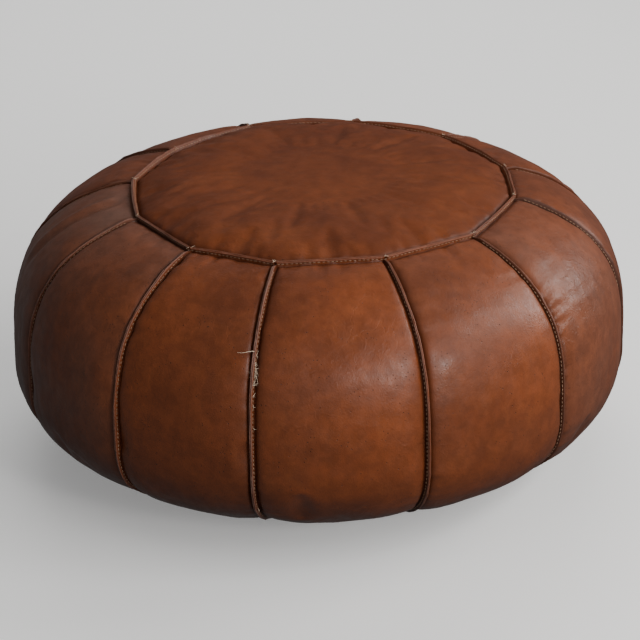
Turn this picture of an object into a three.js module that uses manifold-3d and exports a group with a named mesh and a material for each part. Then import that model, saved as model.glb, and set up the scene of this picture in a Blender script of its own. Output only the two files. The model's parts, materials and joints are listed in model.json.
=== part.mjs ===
// Moroccan leather pouf: a round, low cushion of twelve leather gores between a twelve-sided top panel
// and a base of two half-moons that close with a zip. Millimetres, +Z up, origin under the middle of the
// base, on the floor. Angles run from -Y (the front) towards +X.
import * as THREE from 'three';
import { mergeVertices } from 'three/addons/utils/BufferGeometryUtils.js';
import Module from 'manifold-3d';

// Overall shape
const bodyRadius = 355;
const bodyHeight = 330;
const bellyHeight = 130; // height of the widest ring
const topRoundness = 3.12; // superellipse exponents of the outline above and below the belly
const baseRoundness = 2.61;

// Leather panels
const firstSeam = -12; // angle of the first seam, in degrees
const gores = [30.5, 30, 32, 24.5, 32, 32, 32, 33, 29, 29.5, 29, 26.5]; // width of each gore at the belly, in degrees
const topCornerRadius = 223;
const baseCornerRadius = 220;
const rimStraightness = 0.7; // 1 gives straight sides between the corners, 0 a circle
const leather = 1.6;
const seamGap = 0.3; // between the two leather edges of a seam
const finHeight = 5; // how far a seam's edges stand out
const seamDip = 4; // how far the filling lets the leather sink towards a seam
const goreColumns = 6;
const goreRows = 14;
const ringsPerDisc = 4;

// Underside: flat where it rests, with a trough that lifts the zip off the floor
const settledRadius = 0.5 * bodyRadius; // the base lies flat on the floor inside this radius
const settleWidth = 0.3 * bodyRadius;
const troughHeight = 14;
const troughHalfLength = 170;
const troughHalfWidth = 12;
const troughSlopeLength = 34;
const troughSlopeWidth = 80;

// Zip
const zipHalfLength = 156;
const zipOpening = 6; // from the zip's centre line to the leather edge
const zipMouthEnd = 168; // past this the two half-moons meet edge to edge
const tapeWidth = 14;
const tapeThickness = 0.8;
const chainInner = 0.7; // from the centre line to the tooth tips
const chainOuter = 3.4;
const toothPitch = 4;
const toothDepth = 0.9;
const stopLength = 3;
const stopGap = 0.3;
const chainBottom = troughHeight + 0.7;
const chainHeight = 3.2;
const sliderHalfLength = 7;
const sliderHalfWidth = 5;
const sliderPlate = 1.3;
const sliderRest = 146; // slider's centre along X with the zip closed
const postHalfLength = 3;
const postHalfWidth = 0.3;
const clearance = 0.4;
const bailThickness = 1.2;
const bailHalfWidth = 1;
const bailHalfLength = 3.8;
const bailOpening = 2.7;
const pullLength = 27;
const pullHalfWidth = 3.5;
const pullThickness = 1.4;
const pullSlotHalfWidth = 1.6;
const pullSlotStart = 0.75; // from the hinge line
const pullSlotEnd = 6;
const pullAngle = 21; // the pull tab's rest slope, its tip just above the floor
const stuffingDepth = 7.5; // from the leather's outer face to the filling
const stuffingZipLift = 4; // extra room over the zip

const toRadians = THREE.MathUtils.degToRad;

function smooth(value) {
  return THREE.MathUtils.smoothstep(value, 0, 1);
}

// ---- Outline of the stuffed body ----

function topHeight(radius) {
  const rise = (1 - (radius / bodyRadius) ** topRoundness) ** (1 / topRoundness);
  return bellyHeight + (bodyHeight - bellyHeight) * rise;
}

function troughAt(x, y) {
  const along = 1 - smooth((Math.abs(x) - troughHalfLength) / troughSlopeLength);
  const across = 1 - smooth((Math.abs(y) - troughHalfWidth) / troughSlopeWidth);
  return troughHeight * along * across;
}

function baseHeight(radius, x, y) {
  const drop = (1 - (radius / bodyRadius) ** baseRoundness) ** (1 / baseRoundness);
  const settled = smooth((radius - settledRadius) / settleWidth);
  return bellyHeight * (1 - drop) * settled + troughAt(x, y);
}

// The outline angle runs from -90 degrees (base centre) through 0 (belly) to 90 degrees (top centre).
function outlineRadius(outline) {
  const roundness = outline > 0 ? topRoundness : baseRoundness;
  return bodyRadius * Math.max(Math.cos(outline), 0) ** (2 / roundness);
}

function outlineAngle(radius, roundness) {
  return Math.acos((radius / bodyRadius) ** (roundness / 2));
}

function skinPoint(angle, outline) {
  const radius = outlineRadius(outline);
  const x = radius * Math.sin(toRadians(angle));
  const y = -radius * Math.cos(toRadians(angle));
  const z = outline > 0 ? topHeight(radius) : baseHeight(radius, x, y);
  return new THREE.Vector3(x, y, z);
}

function skinNormal(angle, outline) {
  const step = 0.01;
  const up = skinPoint(angle, outline + step).sub(skinPoint(angle, outline - step));
  const along = new THREE.Vector3(Math.cos(toRadians(angle)), Math.sin(toRadians(angle)), 0);
  return along.cross(up).normalize();
}

// ---- Seams ----

const seamAngles = [firstSeam];
for (const width of gores) {
  seamAngles.push(seamAngles[seamAngles.length - 1] + width);
}

function goreAt(angle) {
  const turned = firstSeam + THREE.MathUtils.euclideanModulo(angle - firstSeam, 360);
  const index = seamAngles.findIndex((seam) => seam > turned + 1e-9) - 1;
  return { index, middle: (seamAngles[index] + seamAngles[index + 1]) / 2, half: gores[index] / 2, turned };
}

// A rim runs from corner to corner, a little rounder than a straight line.
function rimRadius(angle, cornerRadius) {
  const { middle, half, turned } = goreAt(angle);
  const straight = Math.cos(toRadians(half)) / Math.cos(toRadians(turned - middle));
  return cornerRadius * THREE.MathUtils.lerp(1, straight, rimStraightness);
}

function outward(angle, climb) {
  const level = Math.cos(toRadians(climb));
  const x = level * Math.sin(toRadians(angle));
  const y = -level * Math.cos(toRadians(angle));
  return new THREE.Vector3(x, y, Math.sin(toRadians(climb)));
}

const topFinClimb = 60;
const baseFinClimb = -16;

// ---- Sheet solids ----

// Collects triangles between numbered points and turns them into one closed geometry.
class Shell {
  constructor() {
    this.points = [];
    this.faces = [];
  }

  add(point) {
    this.points.push(point);
    return this.points.length - 1;
  }

  quad(a, b, c, d) {
    this.faces.push(a, b, c, a, c, d);
  }

  strip(first, second) {
    for (let i = 0; i < first.length; i += 1) {
      const next = (i + 1) % first.length;
      this.quad(first[i], first[next], second[next], second[i]);
    }
  }

  geometry() {
    const result = new THREE.BufferGeometry();
    result.setAttribute('position', new THREE.Float32BufferAttribute(this.points.flatMap((p) => p.toArray()), 3));
    result.setIndex(this.faces);
    result.computeVertexNormals();
    return result;
  }
}

function patchOf(shell, rows, columns, pointAt) {
  const grid = [];
  for (let row = 0; row <= rows; row += 1) {
    grid.push([]);
    for (let column = 0; column <= columns; column += 1) {
      grid[row].push(shell.add(pointAt(row / rows, column / columns)));
    }
  }
  return grid;
}

function fillPatch(shell, grid, facingOut) {
  for (let row = 0; row + 1 < grid.length; row += 1) {
    for (let column = 0; column + 1 < grid[row].length; column += 1) {
      const corners = [grid[row][column], grid[row][column + 1], grid[row + 1][column + 1], grid[row + 1][column]];
      shell.quad(...(facingOut ? corners : corners.reverse()));
    }
  }
}

// The edge of a patch as one loop, anticlockwise seen from outside, with each point's place in the patch.
function edgeOf(grid) {
  const rows = grid.length - 1;
  const columns = grid[0].length - 1;
  const loop = [];
  for (let column = 0; column < columns; column += 1) loop.push([0, column]);
  for (let row = 0; row < rows; row += 1) loop.push([row, columns]);
  for (let column = columns; column > 0; column -= 1) loop.push([rows, column]);
  for (let row = rows; row > 0; row -= 1) loop.push([row, 0]);
  return loop;
}

// ---- Leather panels ----

// Angle across a gore, drawn in from its seams by the inset; across runs from -1 to 1.
function goreAngle(index, across, inset, radius) {
  const middle = (seamAngles[index] + seamAngles[index + 1]) / 2;
  return middle + across * (gores[index] / 2 - THREE.MathUtils.radToDeg(inset / radius));
}

function gorePoint(index, v, u, inset, depth) {
  const across = 2 * u - 1;
  const topAngle = goreAngle(index, across, inset, topCornerRadius);
  const baseAngle = goreAngle(index, across, inset, baseCornerRadius);
  const topEdge = outlineAngle(rimRadius(topAngle, topCornerRadius) + inset, topRoundness);
  const baseEdge = outlineAngle(rimRadius(baseAngle, baseCornerRadius) + inset, baseRoundness);
  const outline = THREE.MathUtils.lerp(-baseEdge, topEdge, v);
  const angle = goreAngle(index, across, inset, outlineRadius(outline));
  const sink = seamDip * Math.max(across ** 4, (2 * v - 1) ** 8);
  return skinPoint(angle, outline).addScaledVector(skinNormal(angle, outline), -sink - depth);
}

function goreFinDirection(index, row, column) {
  const angle = seamAngles[index] + (gores[index] * column) / goreColumns;
  if (row === goreRows) return outward(angle, topFinClimb);
  if (row === 0) return outward(angle, baseFinClimb);
  const topEdge = outlineAngle(topCornerRadius, topRoundness);
  const baseEdge = outlineAngle(baseCornerRadius, baseRoundness);
  return skinNormal(angle, THREE.MathUtils.lerp(-baseEdge, topEdge, row / goreRows));
}

// One gore: a curved plate whose edges turn outward all round.
function gore(index) {
  const shell = new Shell();
  const faces = [];
  const tips = [];
  for (const [inset, depth] of [[seamGap / 2 + leather, 0], [seamGap / 2, leather]]) {
    const grid = patchOf(shell, goreRows, goreColumns, (v, u) => gorePoint(index, v, u, inset, depth));
    const edge = edgeOf(grid);
    const loop = edge.map(([row, column]) => grid[row][column]);
    const tipLoop = edge.map(([row, column], i) => {
      const lift = goreFinDirection(index, row, column).multiplyScalar(finHeight + depth);
      return shell.add(shell.points[loop[i]].clone().add(lift));
    });
    faces.push({ grid, loop });
    tips.push(tipLoop);
  }
  fillPatch(shell, faces[0].grid, true);
  fillPatch(shell, faces[1].grid, false);
  shell.strip(tips[0], faces[0].loop);
  shell.strip(tips[1], tips[0]);
  shell.strip(faces[1].loop, tips[1]);
  return shell.geometry();
}

const rimAngles = [];
gores.forEach((width, index) => {
  for (let column = 0; column < goreColumns; column += 1) {
    rimAngles.push(seamAngles[index] + (width * column) / goreColumns);
  }
});

// The top panel: a shallow dome with its edge turned up all round.
function topPanel() {
  const shell = new Shell();
  const rims = [];
  const tips = [];
  for (const [inset, depth] of [[seamGap / 2 + leather, 0], [seamGap / 2, leather]]) {
    const rings = [];
    for (let ring = 1; ring <= ringsPerDisc; ring += 1) {
      const reach = ring / ringsPerDisc;
      rings.push(rimAngles.map((angle) => {
        const outline = outlineAngle(reach * (rimRadius(angle, topCornerRadius) - inset), topRoundness);
        const sink = seamDip * reach ** 8 + depth;
        return shell.add(skinPoint(angle, outline).addScaledVector(skinNormal(angle, outline), -sink));
      }));
    }
    const centre = shell.add(new THREE.Vector3(0, 0, bodyHeight - depth));
    const facingOut = depth === 0;
    rings[0].forEach((point, i) => {
      const next = rings[0][(i + 1) % rings[0].length];
      shell.faces.push(centre, ...(facingOut ? [point, next] : [next, point]));
    });
    for (let ring = 0; ring + 1 < rings.length; ring += 1) {
      if (facingOut) shell.strip(rings[ring + 1], rings[ring]);
      else shell.strip(rings[ring], rings[ring + 1]);
    }
    const rim = rings[rings.length - 1];
    rims.push(rim);
    tips.push(rim.map((point, step) => {
      const lift = outward(rimAngles[step], topFinClimb).multiplyScalar(finHeight + depth);
      return shell.add(shell.points[point].clone().add(lift));
    }));
  }
  shell.strip(tips[0], rims[0]);
  shell.strip(tips[1], tips[0]);
  shell.strip(rims[1], tips[1]);
  return shell.geometry();
}

// A point of the base, sunk along the surface's own normal.
function basePoint(x, y, sink) {
  const step = 0.05;
  const level = (dx, dy) => baseHeight(Math.hypot(x + dx, y + dy), x + dx, y + dy);
  const slopeX = (level(step, 0) - level(-step, 0)) / (2 * step);
  const slopeY = (level(0, step) - level(0, -step)) / (2 * step);
  const inward = new THREE.Vector3(-slopeX, -slopeY, 1).normalize();
  return new THREE.Vector3(x, y, level(0, 0)).addScaledVector(inward, sink);
}

// A base half-moon: from the folded edge along the zip out to the rim, whose edge turns outward.
const baseRows = 7;

function basePanel(side) {
  const ends = side > 0 ? [90, 270] : [-90, 90];
  const around = [-360, 0].flatMap((turn) => rimAngles.map((angle) => angle + turn));
  const angles = [ends[0], ...around.filter((a) => a > ends[0] + 1 && a < ends[1] - 1), ends[1]];
  const last = angles.length - 1;
  const shell = new Shell();
  const grids = [];
  for (const [inset, depth] of [[seamGap / 2 + leather, 0], [seamGap / 2, leather]]) {
    const grid = patchOf(shell, baseRows, last, (v, u) => {
      const angle = angles[Math.round(u * last)];
      const rim = new THREE.Vector2(Math.sin(toRadians(angle)), -Math.cos(toRadians(angle)));
      rim.multiplyScalar(rimRadius(angle, baseCornerRadius) - inset);
      rim.y = side * Math.max(side * rim.y, seamGap / 2);
      const zipX = rim.x * (zipMouthEnd + 14) / baseCornerRadius;
      const mouth = 1 - smooth((Math.abs(zipX) - zipMouthEnd + 10) / 12);
      const zipY = side * THREE.MathUtils.lerp(seamGap / 2, zipOpening, mouth);
      const plateEnd = (baseRows - 1) / baseRows; // the last row is the turned edge
      const reach = Math.min(v / plateEnd, 1);
      const at = new THREE.Vector2(zipX, zipY).lerp(rim, reach);
      const point = basePoint(at.x, at.y, seamDip * reach ** 8 + depth);
      return v < 1 ? point : point.addScaledVector(outward(angle, baseFinClimb), finHeight + depth);
    });
    grids.push(grid);
  }
  fillPatch(shell, grids[0], true);
  fillPatch(shell, grids[1], false);
  shell.strip(edgeOf(grids[1]).map(([row, column]) => grids[1][row][column]),
    edgeOf(grids[0]).map(([row, column]) => grids[0][row][column]));
  return shell.geometry();
}

// ---- Filling ----

const stuffingRows = 18;
const stuffingColumns = 24;

function stuffing() {
  const shell = new Shell();
  const rings = [];
  for (let row = 1; row < stuffingRows; row += 1) {
    const outline = THREE.MathUtils.lerp(-Math.PI / 2, Math.PI / 2, row / stuffingRows);
    rings.push([]);
    for (let column = 0; column < stuffingColumns; column += 1) {
      const angle = (360 * column) / stuffingColumns;
      const point = skinPoint(angle, outline).addScaledVector(skinNormal(angle, outline), -stuffingDepth);
      point.z += stuffingZipLift * troughAt(point.x, point.y) / troughHeight;
      rings[row - 1].push(shell.add(point));
    }
  }
  const low = shell.add(new THREE.Vector3(0, 0, troughHeight + stuffingDepth + stuffingZipLift));
  const high = shell.add(new THREE.Vector3(0, 0, bodyHeight - stuffingDepth));
  rings[0].forEach((point, i) => shell.faces.push(low, rings[0][(i + 1) % stuffingColumns], point));
  for (let row = 0; row + 1 < rings.length; row += 1) {
    shell.strip(rings[row], rings[row + 1]);
  }
  const top = rings[rings.length - 1];
  top.forEach((point, i) => shell.faces.push(high, point, top[(i + 1) % stuffingColumns]));
  return shell.geometry();
}

// ---- Zip ----

function chain(side) {
  const outline = new THREE.Shape();
  const teeth = Math.round((2 * zipHalfLength) / toothPitch);
  outline.moveTo(-zipHalfLength, side * chainOuter);
  for (let tooth = 0; tooth < teeth; tooth += 1) {
    const x = -zipHalfLength + tooth * toothPitch;
    outline.lineTo(x, side * (chainInner + toothDepth));
    outline.lineTo(x + toothPitch / 2, side * chainInner);
  }
  outline.lineTo(zipHalfLength, side * (chainInner + toothDepth));
  outline.lineTo(zipHalfLength, side * chainOuter);
  const result = new THREE.ExtrudeGeometry(outline, { depth: chainHeight, bevelEnabled: false });
  return result.translate(0, 0, chainBottom);
}

function tape(side) {
  const inner = chainOuter + seamGap;
  const result = new THREE.BoxGeometry(2 * zipHalfLength + 16, tapeWidth, tapeThickness);
  const level = troughHeight + leather + seamGap + tapeThickness / 2;
  return result.translate(0, side * (inner + tapeWidth / 2), level);
}

// A stop closes one chain at the top of the zip (side 1 or -1), or both at the bottom (side 0).
function stop(x, side) {
  const width = side === 0 ? 2 * chainOuter : chainOuter - chainInner;
  const centre = side * (chainOuter + chainInner) / 2;
  const result = new THREE.BoxGeometry(stopLength, width, chainHeight);
  return result.translate(x, centre, chainBottom + chainHeight / 2);
}

// A plate of the slider: wide at the nose, narrower at the tail.
function sliderOutline() {
  const tail = 0.7 * sliderHalfWidth;
  const nose = 0.45 * sliderHalfWidth;
  const shoulder = 0.3 * sliderHalfLength;
  const shape = new THREE.Shape();
  shape.moveTo(-sliderHalfLength, -tail);
  shape.lineTo(shoulder, -sliderHalfWidth);
  shape.quadraticCurveTo(sliderHalfLength, -sliderHalfWidth, sliderHalfLength, -nose);
  shape.lineTo(sliderHalfLength, nose);
  shape.quadraticCurveTo(sliderHalfLength, sliderHalfWidth, shoulder, sliderHalfWidth);
  shape.lineTo(-sliderHalfLength, tail);
  return shape;
}

function bailOutline() {
  const shape = new THREE.Shape();
  const drop = bailOpening + bailThickness;
  shape.moveTo(-bailHalfLength, sliderPlate / 2);
  shape.lineTo(-bailHalfLength, -drop * 0.6);
  shape.quadraticCurveTo(-bailHalfLength, -drop, -bailHalfLength * 0.4, -drop);
  shape.lineTo(bailHalfLength * 0.4, -drop);
  shape.quadraticCurveTo(bailHalfLength, -drop, bailHalfLength, -drop * 0.6);
  shape.lineTo(bailHalfLength, sliderPlate / 2);
  const eye = new THREE.Path();
  const reach = bailHalfLength - bailThickness;
  eye.moveTo(-reach, 0);
  eye.lineTo(reach, 0);
  eye.lineTo(reach, -bailOpening);
  eye.lineTo(-reach, -bailOpening);
  eye.closePath();
  shape.holes.push(eye);
  return shape;
}

const wasm = await Module();
wasm.setup();

function toSolid(geometry) {
  geometry.deleteAttribute('normal');
  geometry.deleteAttribute('uv');
  const merged = mergeVertices(geometry, 1e-4);
  const mesh = new wasm.Mesh({
    numProp: 3,
    vertProperties: new Float32Array(merged.attributes.position.array),
    triVerts: new Uint32Array(merged.index.array),
  });
  return new wasm.Manifold(mesh);
}

function fromSolid(solid) {
  const mesh = solid.getMesh();
  const result = new THREE.BufferGeometry();
  result.setAttribute('position', new THREE.Float32BufferAttribute(mesh.vertProperties, 3));
  result.setIndex([...mesh.triVerts]);
  result.computeVertexNormals();
  return result;
}

const outerPlateLevel = chainBottom - clearance - sliderPlate; // underside of the slider's outer plate
const innerPlateLevel = chainBottom + chainHeight + clearance;
const hingeLevel = outerPlateLevel - bailOpening / 2;

// The slider's two plates grip the chains, joined by the post that runs between them; the bail is below.
function slider() {
  const plateShape = { depth: sliderPlate, bevelEnabled: false, curveSegments: 5 };
  const outerPlate = new THREE.ExtrudeGeometry(sliderOutline(), plateShape).translate(0, 0, outerPlateLevel);
  const innerPlate = new THREE.ExtrudeGeometry(sliderOutline(), plateShape).translate(0, 0, innerPlateLevel);
  const postHeight = innerPlateLevel - outerPlateLevel;
  const post = new THREE.BoxGeometry(2 * postHalfLength, 2 * postHalfWidth, postHeight);
  post.translate(0, 0, outerPlateLevel + sliderPlate / 2 + postHeight / 2);
  const bailShape = { depth: 2 * bailHalfWidth, bevelEnabled: false, curveSegments: 5 };
  const bail = new THREE.ExtrudeGeometry(bailOutline(), bailShape).translate(0, 0, -bailHalfWidth);
  bail.rotateX(Math.PI / 2).translate(0, 0, outerPlateLevel);
  return fromSolid(toSolid(outerPlate).add(toSolid(innerPlate)).add(toSolid(post)).add(toSolid(bail)));
}

// The pull tab lies along -X from its hinge line at the origin, with a slot for the bail.
function pullTab() {
  const shape = new THREE.Shape();
  shape.moveTo(pullSlotStart, -pullHalfWidth);
  shape.lineTo(pullSlotStart, pullHalfWidth);
  shape.lineTo(-pullLength + pullHalfWidth, pullHalfWidth);
  shape.absarc(-pullLength + pullHalfWidth, 0, pullHalfWidth, Math.PI / 2, Math.PI * 1.5, false);
  const slot = new THREE.Path();
  slot.moveTo(-pullSlotStart, -pullSlotHalfWidth);
  slot.lineTo(-pullSlotEnd, -pullSlotHalfWidth);
  slot.lineTo(-pullSlotEnd, pullSlotHalfWidth);
  slot.lineTo(-pullSlotStart, pullSlotHalfWidth);
  slot.closePath();
  shape.holes.push(slot);
  const shapeOptions = { depth: pullThickness, bevelEnabled: false, curveSegments: 8 };
  return new THREE.ExtrudeGeometry(shape, shapeOptions).translate(0, 0, -pullThickness / 2);
}

// ---- Assembly ----

function finish(color, roughness, metalness = 0) {
  return { color, roughness, metalness };
}

const topLeather = finish(0x6b3620, 0.5);
const sideLeather = finish(0x7a3d1c, 0.45);
const baseLeather = finish(0x5a2f1c, 0.6);
const cotton = finish(0xcfc6b4, 0.95);
const tapeCloth = finish(0x3a2618, 0.9);
const nylon = finish(0x2e1e14, 0.5);
const brass = finish(0xa98545, 0.35, 1);

function part(name, geometry, look) {
  const mesh = new THREE.Mesh(geometry, new THREE.MeshStandardMaterial(look));
  mesh.name = name;
  return mesh;
}

function buildPouf() {
  const pouf = new THREE.Group();
  pouf.add(part('top_panel', topPanel(), topLeather));
  gores.forEach((width, index) => {
    const number = String(index + 1).padStart(2, '0');
    pouf.add(part(`side_panel_${number}`, gore(index), sideLeather));
  });
  pouf.add(part('base_panel_front', basePanel(-1), baseLeather));
  pouf.add(part('base_panel_back', basePanel(1), baseLeather));
  pouf.add(part('stuffing', stuffing(), cotton));

  const zip = new THREE.Group();
  for (const [side, place] of [[-1, 'front'], [1, 'back']]) {
    zip.add(part(`zip_tape_${place}`, tape(side), tapeCloth));
    zip.add(part(`zip_chain_${place}`, chain(side), nylon));
    zip.add(part(`zip_top_stop_${place}`, stop(zipHalfLength + stopGap + stopLength / 2, side), brass));
  }
  zip.add(part('zip_bottom_stop', stop(-zipHalfLength - stopGap - stopLength / 2, 0), brass));
  pouf.add(zip);

  const carriage = new THREE.Group();
  carriage.position.x = sliderRest;
  carriage.add(part('zip_slider', slider(), brass));
  const tab = part('zip_pull_tab', pullTab(), brass);
  tab.position.z = hingeLevel;
  tab.rotation.y = -toRadians(pullAngle);
  carriage.add(tab);
  pouf.add(carriage);
  return pouf;
}

export default buildPouf();
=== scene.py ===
# Leather pouf: twelve sewn gores, a twelve-sided top, a zipped base and its filling.
# Everything is in metres, +Z up, with the front seam towards -Y.
import json
import math

import bpy
import numpy as np
from mathutils import Matrix, Vector, noise

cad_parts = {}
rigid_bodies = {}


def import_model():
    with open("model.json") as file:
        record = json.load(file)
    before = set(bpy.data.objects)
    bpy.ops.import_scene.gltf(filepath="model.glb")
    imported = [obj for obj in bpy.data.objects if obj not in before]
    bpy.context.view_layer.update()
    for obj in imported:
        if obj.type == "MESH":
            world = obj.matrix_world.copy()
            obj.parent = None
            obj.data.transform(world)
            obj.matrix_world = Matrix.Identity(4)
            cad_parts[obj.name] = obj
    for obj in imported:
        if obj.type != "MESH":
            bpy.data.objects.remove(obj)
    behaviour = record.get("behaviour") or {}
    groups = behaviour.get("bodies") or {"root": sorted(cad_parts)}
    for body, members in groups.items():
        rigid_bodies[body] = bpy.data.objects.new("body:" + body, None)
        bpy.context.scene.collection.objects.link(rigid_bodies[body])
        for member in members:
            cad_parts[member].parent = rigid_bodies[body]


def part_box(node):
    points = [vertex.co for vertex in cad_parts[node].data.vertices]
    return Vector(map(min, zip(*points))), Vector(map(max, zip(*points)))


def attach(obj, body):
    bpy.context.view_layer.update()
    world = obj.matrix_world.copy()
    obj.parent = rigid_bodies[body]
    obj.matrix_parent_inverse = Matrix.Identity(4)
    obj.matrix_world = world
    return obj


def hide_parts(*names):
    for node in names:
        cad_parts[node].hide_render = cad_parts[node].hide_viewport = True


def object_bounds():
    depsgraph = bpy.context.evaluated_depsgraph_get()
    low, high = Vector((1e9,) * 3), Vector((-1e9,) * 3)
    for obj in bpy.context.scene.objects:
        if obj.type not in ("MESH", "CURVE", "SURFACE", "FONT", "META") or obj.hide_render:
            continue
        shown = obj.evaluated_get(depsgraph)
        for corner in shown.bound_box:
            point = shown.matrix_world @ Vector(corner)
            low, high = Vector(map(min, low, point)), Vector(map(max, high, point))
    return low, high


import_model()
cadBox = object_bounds()
bpy.ops.object.select_all(action="DESELECT")

# Outline of the stuffed cover. Angles run from the front (-Y) towards +X.

shape = dict(
    radius=0.5 * (cadBox[1][0] - cadBox[0][0]),
    height=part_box("top_panel")[1][2],
    belly=0.130,  # height of the widest ring
    topRoundness=3.12,
    baseRoundness=2.61,
    firstSeam=-12.0,  # degrees
    gores=[30.5, 30, 32, 24.5, 32, 32, 32, 33, 29, 29.5, 29, 26.5],  # widths in degrees
    topCorner=0.223,  # middle radius of the top panel's corners
    # each corner's own radius against that, from the front seam on
    cornerOff=[
        0.0006, -0.0015, 0.0019, 0.0023, 0.0033, 0.002,
        0.002, 0.005, -0.014, -0.0096, -0.0046, 0.0007,
    ],
    baseCorner=0.220,
    rimStraight=0.7,
    settledFrom=0.5,  # the base lies flat inside this share of the radius
    settledWidth=0.3,
    trough=0.014,  # lift of the zip off the floor
    troughFlat=(0.170, 0.012),
    troughSlope=(0.034, 0.080),
    seamSink=0.004,  # how far the leather sinks towards a seam
    slump=0.004,  # the filling has settled a little to the left
)

seamAngles = np.radians(np.cumsum([shape["firstSeam"]] + shape["gores"]))
goreCount = len(shape["gores"])


def smooth(x):
    x = np.clip(x, 0, 1)
    return x * x * (3 - 2 * x)


# A smooth hump: 1 at 0, almost gone past 2
def bell(x):
    return np.exp(-(x**2))


def outlineRadius(t):
    power = np.where(t > 0, 2 / shape["topRoundness"], 2 / shape["baseRoundness"])
    return shape["radius"] * np.maximum(np.cos(t), 0) ** power


def outlineAngle(radius, roundness):
    return np.arccos(np.clip(radius / shape["radius"], 0, 1) ** (roundness / 2))


def troughAt(x, y):
    along = 1 - smooth((np.abs(x) - shape["troughFlat"][0]) / shape["troughSlope"][0])
    across = 1 - smooth((np.abs(y) - shape["troughFlat"][1]) / shape["troughSlope"][1])
    return shape["trough"] * along * across


def baseHeight(x, y):
    share = np.clip(np.hypot(x, y) / shape["radius"], 0, 1)
    drop = (1 - share ** shape["baseRoundness"]) ** (1 / shape["baseRoundness"])
    settled = smooth((share - shape["settledFrom"]) / shape["settledWidth"])
    return shape["belly"] * (1 - drop) * settled + troughAt(x, y)


# The stuffed outline at an angle round the pouf and an outline angle t, -90 to 90 degrees
def skin(angle, t):
    radius = outlineRadius(t)
    slump = shape["slump"] * np.sin(-angle) * bell((t + 0.45) / 0.5)
    x = (radius + slump) * np.sin(angle)
    y = -(radius + slump) * np.cos(angle)
    rise = np.maximum(np.sin(t), 0) ** (2 / shape["topRoundness"])
    high = shape["belly"] + (shape["height"] - shape["belly"]) * rise
    low = baseHeight(radius * np.sin(angle), -radius * np.cos(angle))
    return np.stack([x, y, np.where(t > 0, high, low)], -1)


def unit(v):
    return v / np.maximum(np.linalg.norm(v, axis=-1, keepdims=True), 1e-12)


def skinNormal(angle, t):
    step = 0.01
    up = skin(angle, t + step) - skin(angle, t - step)
    along = np.stack([np.cos(angle), np.sin(angle), 0 * angle], -1)
    return unit(np.cross(along, up))


# A rim runs from corner to corner, a little rounder than a straight line
def rimRadius(angle, corner):
    turned = (angle - seamAngles[0]) % (2 * math.pi) + seamAngles[0]
    gore = np.clip(np.searchsorted(seamAngles, turned + 1e-9) - 1, 0, goreCount - 1)
    middle = 0.5 * (seamAngles[gore] + seamAngles[gore + 1])
    half = 0.5 * (seamAngles[gore + 1] - seamAngles[gore])
    straight = np.cos(half) / np.cos(turned - middle)
    if corner == shape["topCorner"]:
        share = (turned - seamAngles[gore]) / (2 * half)
        off = np.array(shape["cornerOff"])
        corner = corner + off[gore] * (1 - share) + off[(gore + 1) % goreCount] * share
    return corner * (1 + shape["rimStraight"] * (straight - 1))


# The leather under tension: a cloth held along its seams, blown out by the filling.

cloth = dict(
    columns=26,  # per gore
    rows=60,
    discRings=26,
    discInner=0.42,  # the top panel is held inside this share of its reach
    growth=-0.009,  # negative shrink lets the leather ease outward
    pressure=6.0,
    tension=25.0,
    bending=12.0,
    frames=24,
    cap=0.007,  # furthest that a point may move
)


# Angle and outline angle at a place across (u) and up (v) a gore
def goreT(index, u, v):
    angle = seamAngles[index] + u * (seamAngles[index + 1] - seamAngles[index])
    top = outlineAngle(rimRadius(angle, shape["topCorner"]), shape["topRoundness"])
    base = outlineAngle(rimRadius(angle, shape["baseCorner"]), shape["baseRoundness"])
    return angle, -base + v * (top + base)


def startCover():
    columns, rows = cloth["columns"], cloth["rows"]
    v = np.linspace(0, 1, rows + 1)[:, None]
    gores = []
    for index in range(goreCount):
        u = np.linspace(0, 1, columns + 1)[None, :]
        angle, t = goreT(index, u, v)
        sink = shape["seamSink"] * np.maximum(np.abs(2 * u - 1) ** 6, np.abs(2 * v - 1) ** 12)
        angle = angle + 0 * t
        points = skin(angle, t) - skinNormal(angle, t) * sink[..., None]
        gores.append(points[:, :-1])
    sides = np.concatenate(gores, 1)
    angles = np.concatenate([goreT(i, np.linspace(0, 1, columns + 1)[:-1], 1.0)[0] for i in range(goreCount)])
    reach = np.linspace(1, cloth["discInner"], cloth["discRings"])[1:, None]
    radius = reach * rimRadius(angles, shape["topCorner"])[None, :]
    t = outlineAngle(radius, shape["topRoundness"])
    angle = angles[None, :] + 0 * t
    disc = skin(angle, t) - skinNormal(angle, t) * (shape["seamSink"] * reach[..., None] ** 12)
    return np.concatenate([sides, disc], 0), angles


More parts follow.
